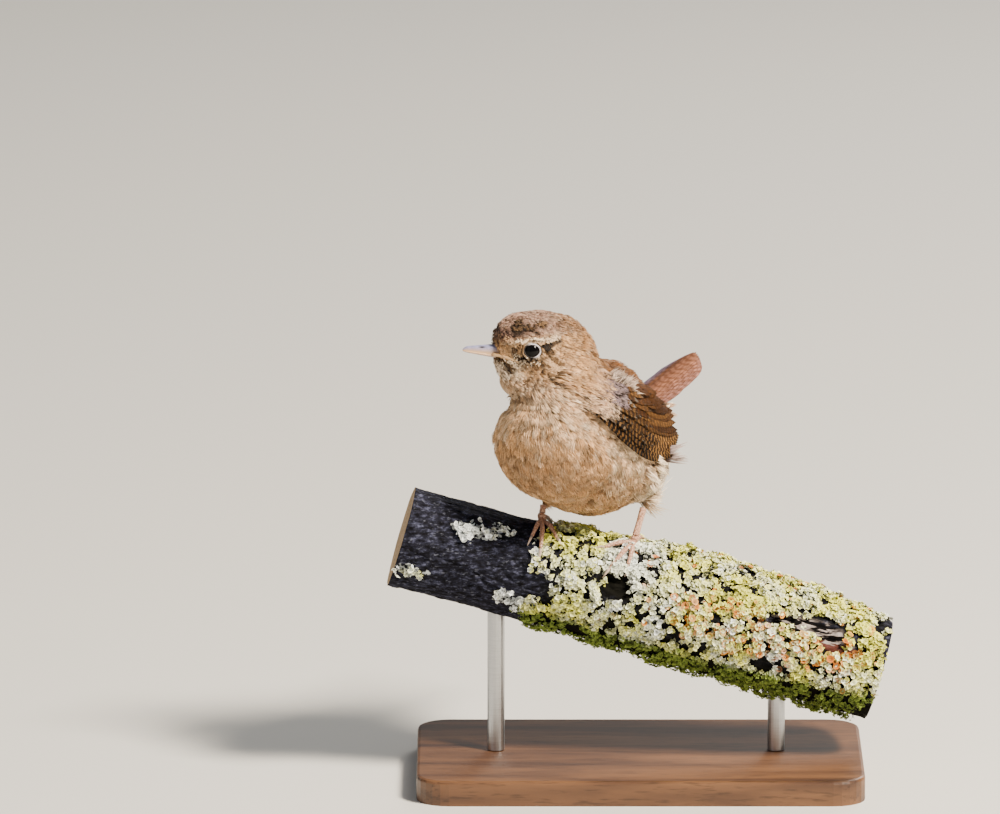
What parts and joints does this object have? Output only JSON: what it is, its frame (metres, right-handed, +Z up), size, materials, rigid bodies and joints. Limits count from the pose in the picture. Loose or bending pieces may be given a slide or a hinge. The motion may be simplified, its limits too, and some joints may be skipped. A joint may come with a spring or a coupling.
{
  "type": "model bird on a stand",
  "caption": "Life-size still model of a small round wren with a cocked tail, gripping a cut length of lichened branch on a flat stand.",
  "frame": {"origin": "centre of the underside of the stand's base", "axes": "+Z up; the perch runs along X and slopes down towards +X; the bird's breast faces -Y and -X and its bill points towards -X"},
  "size_m": [0.1406, 0.0762, 0.1342],
  "materials": {
    "plumage_body": "soft matte feathering, buff below and warm brown above",
    "plumage_head": "soft matte feathering, grey-brown crown with a pale brow",
    "flight_feathers": "barred brown vanes with a faint sheen",
    "bill": "satin horn, paler below",
    "eye": "wet gloss",
    "leg": "satin scutes",
    "claw": "satin horn",
    "bark": "rough bark under lichen",
    "stand_wood": "satin varnished walnut",
    "stand_steel": "brushed"
  },
  "bodies": {
    "root": {"bill_lower": "bill", "bill_upper": "bill", "claw_hind_left": "claw", "claw_hind_right": "claw", "claw_inner_left": "claw", "claw_inner_right": "claw", "claw_middle_left": "claw", "claw_middle_right": "claw", "claw_outer_left": "claw", "claw_outer_right": "claw", "eye_left": "eye", "eye_right": "eye", "foot_left": "leg", "foot_right": "leg", "head": "plumage_head", "neck": "plumage_body", "perch": "bark", "shank_left": "leg", "shank_right": "leg", "stand_base": "stand_wood", "stand_rod_left": "stand_steel", "stand_rod_right": "stand_steel", "tail": "flight_feathers", "thigh_left": "plumage_body", "thigh_right": "plumage_body", "torso": "plumage_body", "wing_left": "flight_feathers", "wing_right": "flight_feathers"}
  },
  "joints": []
}
